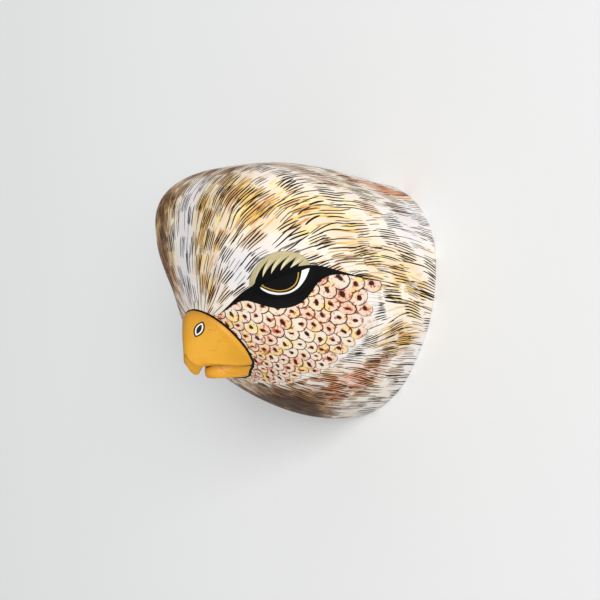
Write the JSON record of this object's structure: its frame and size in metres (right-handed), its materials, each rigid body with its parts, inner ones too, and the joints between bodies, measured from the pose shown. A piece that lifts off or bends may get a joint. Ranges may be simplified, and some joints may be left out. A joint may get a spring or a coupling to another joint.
{
  "type": "owl mask",
  "caption": "Carved and painted wooden bird-of-prey face mask, hollow behind, with a hooked beak, domed eyes and a flat rim.",
  "frame": {"origin": "under the middle of the mask, in the plane of its flat rim, on which it lies face up", "axes": "+Z out of the face, +Y up to the crown, +X to the bird's left"},
  "size_m": [0.2158, 0.2311, 0.1916],
  "materials": {
    "painted_wood": "satin"
  },
  "bodies": {
    "root": {"owl_mask": "painted_wood"}
  },
  "joints": []
}
